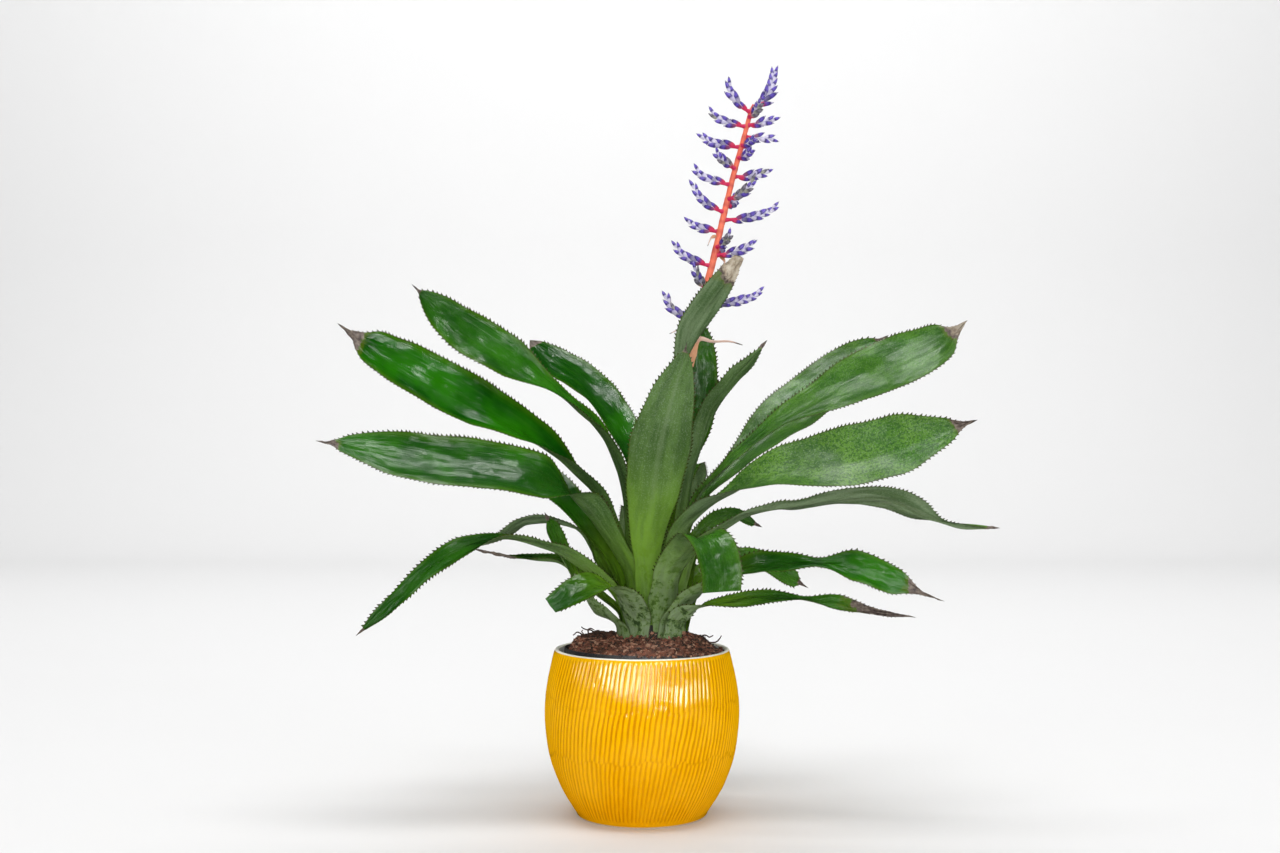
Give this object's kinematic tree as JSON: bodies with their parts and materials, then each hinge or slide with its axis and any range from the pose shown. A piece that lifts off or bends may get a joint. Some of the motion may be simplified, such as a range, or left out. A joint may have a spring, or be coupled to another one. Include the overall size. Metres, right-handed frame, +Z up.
{
  "type": "potted aechmea",
  "caption": "Flowering bromeliad with strap leaves and a branched violet flower spike, in a grower pot inside a ribbed, yellow glazed ceramic pot.",
  "frame": {"origin": "centre of the ceramic pot's flat underside", "axes": "+Z up along the pot's axis, -Y to the plant's front, +X to its right seen from the front"},
  "size_m": [0.5621, 0.3312, 0.6478],
  "materials": {
    "yellow_glaze": "gloss",
    "dark_plastic": "satin",
    "soil": "matte",
    "stem": "matte",
    "flower_stalk": "satin",
    "leaf_green": "satin",
    "flower_violet": "satin",
    "dry_bract": "matte"
  },
  "bodies": {
    "root": {"pot": "yellow_glaze", "liner": "dark_plastic", "soil": "soil", "stem": "stem", "scape": "flower_stalk", "flower_01_top": "flower_violet", "flower_02_top_left": "flower_violet", "flower_03_front": "flower_violet", "flower_04_left": "flower_violet", "flower_05_right": "flower_violet", "flower_06_right": "flower_violet", "flower_07_left": "flower_violet", "flower_08_bud": "flower_violet", "flower_09_bud": "flower_violet", "flower_10_front_left": "flower_violet", "flower_11_left": "flower_violet", "flower_12_right": "flower_violet", "flower_13_front_right": "flower_violet", "flower_14_left": "flower_violet", "flower_15_long_right": "flower_violet", "flower_16_left": "flower_violet", "flower_17_front": "flower_violet", "flower_18_right": "flower_violet", "flower_19_long_left": "flower_violet", "flower_20_front_left": "flower_violet", "flower_21_low_right": "flower_violet", "flower_22_low_left": "flower_violet", "flower_23_back_high": "flower_violet", "flower_24_back_mid": "flower_violet", "flower_25_back_low": "flower_violet", "leaf_01_cut_left": "leaf_green", "leaf_02_low_right": "leaf_green", "leaf_03_short_left": "leaf_green", "leaf_04_edge_left": "leaf_green", "leaf_05_low_back_right": "leaf_green", "leaf_06_tail_right": "leaf_green", "leaf_07_drooping_left": "leaf_green", "leaf_08_low_back": "leaf_green", "leaf_09_narrow_left": "leaf_green", "leaf_10_small_right": "leaf_green", "leaf_11_cut_right": "leaf_green", "leaf_12_spreading_right": "leaf_green", "leaf_13_mid_back": "leaf_green", "leaf_14_behind_left": "leaf_green", "leaf_15_wide_left": "leaf_green", "leaf_16_wide_right": "leaf_green", "leaf_17_high_back": "leaf_green", "leaf_18_glossy_left": "leaf_green", "leaf_19_speckled_right": "leaf_green", "leaf_20_high_left": "leaf_green", "leaf_21_high_right": "leaf_green", "leaf_22_centre_front": "leaf_green", "leaf_23_folded_left": "leaf_green", "leaf_24_before_stalk": "leaf_green", "leaf_25_channelled_right": "leaf_green", "leaf_26_behind_stalk": "leaf_green", "bract_papery": "dry_bract", "bract_low_left": "dry_bract", "bract_mid_left": "dry_bract", "bract_mid_right": "dry_bract"}
  },
  "joints": []
}
